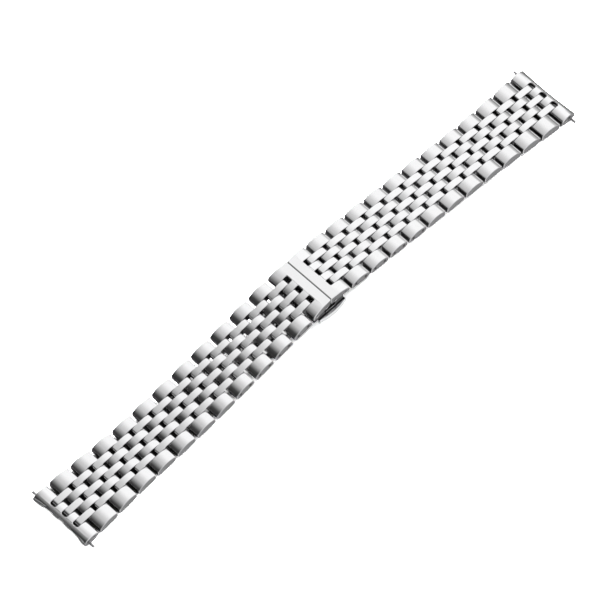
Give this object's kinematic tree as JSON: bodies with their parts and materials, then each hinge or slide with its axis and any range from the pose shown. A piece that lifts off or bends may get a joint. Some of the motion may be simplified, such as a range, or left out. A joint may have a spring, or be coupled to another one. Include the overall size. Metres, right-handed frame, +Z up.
{
  "type": "watch bracelet",
  "caption": "Seven-column polished steel link bracelet with concave end links, spring bars and a folding clasp opened by two side push buttons.",
  "frame": {"origin": "on the table, under the middle of the seam between the two clasp covers", "axes": "+X along the right strap, +Y across the strap, +Z up; the clasp is closed and stands on the table on its hinges, and the straps slope down to their end links"},
  "size_m": [0.1694, 0.0212, 0.0122],
  "materials": {
    "steel": "polished",
    "pins": "satin"
  },
  "bodies": {
    "clasp_base": {"centre_plate": "steel", "latch_block": "steel"},
    "far_button": {"far_button": "steel"},
    "near_button": {"near_button": "steel"},
    "right_leaf": {"right_leaf": "steel"},
    "right_cover": {"right_cover": "steel"},
    "right_inner_01": {"right_inner_row_01": "steel"},
    "right_outer_01": {"right_outer_row_01": "steel"},
    "right_inner_02": {"right_inner_row_02": "steel"},
    "right_outer_02": {"right_outer_row_02": "steel"},
    "right_inner_03": {"right_inner_row_03": "steel"},
    "right_outer_03": {"right_outer_row_03": "steel"},
    "right_inner_04": {"right_inner_row_04": "steel"},
    "right_outer_04": {"right_outer_row_04": "steel"},
    "right_inner_05": {"right_inner_row_05": "steel"},
    "right_outer_05": {"right_outer_row_05": "steel"},
    "right_inner_06": {"right_inner_row_06": "steel"},
    "right_outer_06": {"right_outer_row_06": "steel"},
    "right_inner_07": {"right_inner_row_07": "steel"},
    "right_outer_07": {"right_outer_row_07": "steel"},
    "right_inner_08": {"right_inner_row_08": "steel"},
    "right_outer_08": {"right_outer_row_08": "steel"},
    "right_inner_09": {"right_inner_row_09": "steel"},
    "right_outer_09": {"right_outer_row_09": "steel"},
    "right_inner_10": {"right_inner_row_10": "steel"},
    "right_outer_10": {"right_outer_row_10": "steel"},
    "right_inner_11": {"right_inner_row_11": "steel"},
    "right_outer_11": {"right_outer_row_11": "steel"},
    "right_inner_12": {"right_inner_row_12": "steel"},
    "right_end": {"right_end_link": "steel", "right_spring_bar": "pins"},
    "right_bar_tip": {"right_spring_bar_tip": "pins"},
    "left_leaf": {"left_leaf": "steel"},
    "left_cover": {"left_cover": "steel"},
    "left_inner_01": {"left_inner_row_01": "steel"},
    "left_outer_01": {"left_outer_row_01": "steel"},
    "left_inner_02": {"left_inner_row_02": "steel"},
    "left_outer_02": {"left_outer_row_02": "steel"},
    "left_inner_03": {"left_inner_row_03": "steel"},
    "left_outer_03": {"left_outer_row_03": "steel"},
    "left_inner_04": {"left_inner_row_04": "steel"},
    "left_outer_04": {"left_outer_row_04": "steel"},
    "left_inner_05": {"left_inner_row_05": "steel"},
    "left_outer_05": {"left_outer_row_05": "steel"},
    "left_inner_06": {"left_inner_row_06": "steel"},
    "left_outer_06": {"left_outer_row_06": "steel"},
    "left_inner_07": {"left_inner_row_07": "steel"},
    "left_outer_07": {"left_outer_row_07": "steel"},
    "left_inner_08": {"left_inner_row_08": "steel"},
    "left_outer_08": {"left_outer_row_08": "steel"},
    "left_inner_09": {"left_inner_row_09": "steel"},
    "left_outer_09": {"left_outer_row_09": "steel"},
    "left_inner_10": {"left_inner_row_10": "steel"},
    "left_outer_10": {"left_outer_row_10": "steel"},
    "left_inner_11": {"left_inner_row_11": "steel"},
    "left_outer_11": {"left_outer_row_11": "steel"},
    "left_inner_12": {"left_inner_row_12": "steel"},
    "left_end": {"left_end_link": "steel", "left_spring_bar": "pins"},
    "left_bar_tip": {"left_spring_bar_tip": "pins"}
  },
  "joints": [
    {"name": "right_leaf_hinge", "type": "hinge", "parent": "clasp_base", "child": "right_leaf", "pos_m": [0.0155, 0, 0.0014], "axis": [0, 1, 0], "range_deg": [0, 160]},
    {"name": "right_cover_hinge", "type": "hinge", "parent": "right_leaf", "child": "right_cover", "pos_m": [0.00145, 0, 0.01025], "axis": [0, 1, 0], "range_deg": [-150, 2]},
    {"name": "left_leaf_hinge", "type": "hinge", "parent": "clasp_base", "child": "left_leaf", "pos_m": [-0.0155, 0, 0.0014], "axis": [0, -1, 0], "range_deg": [0, 160]},
    {"name": "left_cover_hinge", "type": "hinge", "parent": "left_leaf", "child": "left_cover", "pos_m": [-0.00145, 0, 0.01025], "axis": [0, -1, 0], "range_deg": [-150, 2]},
    {"name": "far_button_press", "type": "slide", "parent": "clasp_base", "child": "far_button", "axis": [0, -1, 0], "range_m": [0, 0.0007], "stiffness_N_per_m": 3000, "springref_m": -0.0002},
    {"name": "near_button_press", "type": "slide", "parent": "clasp_base", "child": "near_button", "axis": [0, 1, 0], "range_m": [0, 0.0007], "stiffness_N_per_m": 3000, "springref_m": -0.0002},
    {"name": "right_bar_tip_push", "type": "slide", "parent": "right_end", "child": "right_bar_tip", "axis": [0, 1, 0], "range_m": [0, 0.00165], "stiffness_N_per_m": 2000, "springref_m": -0.0003},
    {"name": "left_bar_tip_push", "type": "slide", "parent": "left_end", "child": "left_bar_tip", "axis": [0, -1, 0], "range_m": [0, 0.00165], "stiffness_N_per_m": 2000, "springref_m": -0.0003},
    {"name": "right_hinge_01", "type": "hinge", "parent": "right_cover", "child": "right_inner_01", "pos_m": [0.00492, 0, 0.01047], "axis": [0, 1, 0], "range_deg": [-40, 15]},
    {"name": "right_hinge_02", "type": "hinge", "parent": "right_inner_01", "child": "right_outer_01", "pos_m": [0.00825, 0, 0.01008], "axis": [0, -1, 0], "range_deg": [-20, 40]},
    {"name": "right_hinge_03", "type": "hinge", "parent": "right_outer_01", "child": "right_inner_02", "pos_m": [0.01158, 0, 0.00969], "axis": [0, 1, 0], "range_deg": [-40, 30]},
    {"name": "right_hinge_04", "type": "hinge", "parent": "right_inner_02", "child": "right_outer_02", "pos_m": [0.01491, 0, 0.0093], "axis": [0, -1, 0], "range_deg": [-40, 40]},
    {"name": "right_hinge_05", "type": "hinge", "parent": "right_outer_02", "child": "right_inner_03", "pos_m": [0.01823, 0, 0.00891], "axis": [0, 1, 0], "range_deg": [-40, 40]},
    {"name": "right_hinge_06", "type": "hinge", "parent": "right_inner_03", "child": "right_outer_03", "pos_m": [0.02156, 0, 0.00853], "axis": [0, -1, 0], "range_deg": [-40, 40]},
    {"name": "right_hinge_07", "type": "hinge", "parent": "right_outer_03", "child": "right_inner_04", "pos_m": [0.02489, 0, 0.00814], "axis": [0, 1, 0], "range_deg": [-40, 40]},
    {"name": "right_hinge_08", "type": "hinge", "parent": "right_inner_04", "child": "right_outer_04", "pos_m": [0.02822, 0, 0.00775], "axis": [0, -1, 0], "range_deg": [-40, 40]},
    {"name": "right_hinge_09", "type": "hinge", "parent": "right_outer_04", "child": "right_inner_05", "pos_m": [0.03154, 0, 0.00736], "axis": [0, 1, 0], "range_deg": [-40, 40]},
    {"name": "right_hinge_10", "type": "hinge", "parent": "right_inner_05", "child": "right_outer_05", "pos_m": [0.03487, 0, 0.00697], "axis": [0, -1, 0], "range_deg": [-40, 40]},
    {"name": "right_hinge_11", "type": "hinge", "parent": "right_outer_05", "child": "right_inner_06", "pos_m": [0.0382, 0, 0.00658], "axis": [0, 1, 0], "range_deg": [-40, 40]},
    {"name": "right_hinge_12", "type": "hinge", "parent": "right_inner_06", "child": "right_outer_06", "pos_m": [0.04153, 0, 0.0062], "axis": [0, -1, 0], "range_deg": [-40, 40]},
    {"name": "right_hinge_13", "type": "hinge", "parent": "right_outer_06", "child": "right_inner_07", "pos_m": [0.04485, 0, 0.00581], "axis": [0, 1, 0], "range_deg": [-40, 40]},
    {"name": "right_hinge_14", "type": "hinge", "parent": "right_inner_07", "child": "right_outer_07", "pos_m": [0.04818, 0, 0.00542], "axis": [0, -1, 0], "range_deg": [-40, 40]},
    {"name": "right_hinge_15", "type": "hinge", "parent": "right_outer_07", "child": "right_inner_08", "pos_m": [0.05151, 0, 0.00503], "axis": [0, 1, 0], "range_deg": [-40, 40]},
    {"name": "right_hinge_16", "type": "hinge", "parent": "right_inner_08", "child": "right_outer_08", "pos_m": [0.05484, 0, 0.00464], "axis": [0, -1, 0], "range_deg": [-40, 40]},
    {"name": "right_hinge_17", "type": "hinge", "parent": "right_outer_08", "child": "right_inner_09", "pos_m": [0.05816, 0, 0.00425], "axis": [0, 1, 0], "range_deg": [-40, 40]},
    {"name": "right_hinge_18", "type": "hinge", "parent": "right_inner_09", "child": "right_outer_09", "pos_m": [0.06149, 0, 0.00387], "axis": [0, -1, 0], "range_deg": [-40, 40]},
    {"name": "right_hinge_19", "type": "hinge", "parent": "right_outer_09", "child": "right_inner_10", "pos_m": [0.06482, 0, 0.00348], "axis": [0, 1, 0], "range_deg": [-40, 40]},
    {"name": "right_hinge_20", "type": "hinge", "parent": "right_inner_10", "child": "right_outer_10", "pos_m": [0.06815, 0, 0.00309], "axis": [0, -1, 0], "range_deg": [-40, 40]},
    {"name": "right_hinge_21", "type": "hinge", "parent": "right_outer_10", "child": "right_inner_11", "pos_m": [0.07147, 0, 0.0027], "axis": [0, 1, 0], "range_deg": [-40, 40]},
    {"name": "right_hinge_22", "type": "hinge", "parent": "right_inner_11", "child": "right_outer_11", "pos_m": [0.0748, 0, 0.00231], "axis": [0, -1, 0], "range_deg": [-40, 40]},
    {"name": "right_hinge_23", "type": "hinge", "parent": "right_outer_11", "child": "right_inner_12", "pos_m": [0.07813, 0, 0.00192], "axis": [0, 1, 0], "range_deg": [-40, 40]},
    {"name": "right_hinge_24", "type": "hinge", "parent": "right_inner_12", "child": "right_end", "pos_m": [0.08146, 0, 0.00154], "axis": [0, -1, 0], "range_deg": [-40, 40]},
    {"name": "left_hinge_01", "type": "hinge", "parent": "left_cover", "child": "left_inner_01", "pos_m": [-0.00492, 0, 0.01047], "axis": [0, -1, 0], "range_deg": [-40, 15]},
    {"name": "left_hinge_02", "type": "hinge", "parent": "left_inner_01", "child": "left_outer_01", "pos_m": [-0.00821, 0, 0.00981], "axis": [0, 1, 0], "range_deg": [-20, 40]},
    {"name": "left_hinge_03", "type": "hinge", "parent": "left_outer_01", "child": "left_inner_02", "pos_m": [-0.0115, 0, 0.00916], "axis": [0, -1, 0], "range_deg": [-40, 30]},
    {"name": "left_hinge_04", "type": "hinge", "parent": "left_inner_02", "child": "left_outer_02", "pos_m": [-0.01479, 0, 0.00852], "axis": [0, 1, 0], "range_deg": [-40, 40]},
    {"name": "left_hinge_05", "type": "hinge", "parent": "left_outer_02", "child": "left_inner_03", "pos_m": [-0.01808, 0, 0.00789], "axis": [0, -1, 0], "range_deg": [-40, 40]},
    {"name": "left_hinge_06", "type": "hinge", "parent": "left_inner_03", "child": "left_outer_03", "pos_m": [-0.02137, 0, 0.00727], "axis": [0, 1, 0], "range_deg": [-40, 40]},
    {"name": "left_hinge_07", "type": "hinge", "parent": "left_outer_03", "child": "left_inner_04", "pos_m": [-0.02466, 0, 0.00666], "axis": [0, -1, 0], "range_deg": [-40, 40]},
    {"name": "left_hinge_08", "type": "hinge", "parent": "left_inner_04", "child": "left_outer_04", "pos_m": [-0.02796, 0, 0.00605], "axis": [0, 1, 0], "range_deg": [-40, 40]},
    {"name": "left_hinge_09", "type": "hinge", "parent": "left_outer_04", "child": "left_inner_05", "pos_m": [-0.03125, 0, 0.00546], "axis": [0, -1, 0], "range_deg": [-40, 40]},
    {"name": "left_hinge_10", "type": "hinge", "parent": "left_inner_05", "child": "left_outer_05", "pos_m": [-0.03455, 0, 0.00487], "axis": [0, 1, 0], "range_deg": [-40, 40]},
    {"name": "left_hinge_11", "type": "hinge", "parent": "left_outer_05", "child": "left_inner_06", "pos_m": [-0.03786, 0, 0.00433], "axis": [0, -1, 0], "range_deg": [-40, 40]},
    {"name": "left_hinge_12", "type": "hinge", "parent": "left_inner_06", "child": "left_outer_06", "pos_m": [-0.04117, 0, 0.00386], "axis": [0, 1, 0], "range_deg": [-40, 40]},
    {"name": "left_hinge_13", "type": "hinge", "parent": "left_outer_06", "child": "left_inner_07", "pos_m": [-0.0445, 0, 0.00344], "axis": [0, -1, 0], "range_deg": [-40, 40]},
    {"name": "left_hinge_14", "type": "hinge", "parent": "left_inner_07", "child": "left_outer_07", "pos_m": [-0.04783, 0, 0.00307], "axis": [0, 1, 0], "range_deg": [-40, 40]},
    {"name": "left_hinge_15", "type": "hinge", "parent": "left_outer_07", "child": "left_inner_08", "pos_m": [-0.05116, 0, 0.00277], "axis": [0, -1, 0], "range_deg": [-40, 40]},
    {"name": "left_hinge_16", "type": "hinge", "parent": "left_inner_08", "child": "left_outer_08", "pos_m": [-0.0545, 0, 0.00252], "axis": [0, 1, 0], "range_deg": [-40, 40]},
    {"name": "left_hinge_17", "type": "hinge", "parent": "left_outer_08", "child": "left_inner_09", "pos_m": [-0.05785, 0, 0.00233], "axis": [0, -1, 0], "range_deg": [-40, 40]},
    {"name": "left_hinge_18", "type": "hinge", "parent": "left_inner_09", "child": "left_outer_09", "pos_m": [-0.0612, 0, 0.00219], "axis": [0, 1, 0], "range_deg": [-40, 40]},
    {"name": "left_hinge_19", "type": "hinge", "parent": "left_outer_09", "child": "left_inner_10", "pos_m": [-0.06454, 0, 0.00207], "axis": [0, -1, 0], "range_deg": [-40, 40]},
    {"name": "left_hinge_20", "type": "hinge", "parent": "left_inner_10", "child": "left_outer_10", "pos_m": [-0.06789, 0, 0.00194], "axis": [0, 1, 0], "range_deg": [-40, 40]},
    {"name": "left_hinge_21", "type": "hinge", "parent": "left_outer_10", "child": "left_inner_11", "pos_m": [-0.07124, 0, 0.00181], "axis": [0, -1, 0], "range_deg": [-40, 40]},
    {"name": "left_hinge_22", "type": "hinge", "parent": "left_inner_11", "child": "left_outer_11", "pos_m": [-0.07459, 0, 0.00169], "axis": [0, 1, 0], "range_deg": [-40, 40]},
    {"name": "left_hinge_23", "type": "hinge", "parent": "left_outer_11", "child": "left_inner_12", "pos_m": [-0.07793, 0, 0.00156], "axis": [0, -1, 0], "range_deg": [-40, 40]},
    {"name": "left_hinge_24", "type": "hinge", "parent": "left_inner_12", "child": "left_end", "pos_m": [-0.08128, 0, 0.00144], "axis": [0, 1, 0], "range_deg": [-40, 40]}
  ],
  "couplings": [
    {"joint": "right_cover_hinge", "follows": "right_leaf_hinge", "ratio": -0.9},
    {"joint": "left_cover_hinge", "follows": "left_leaf_hinge", "ratio": -0.9}
  ]
}
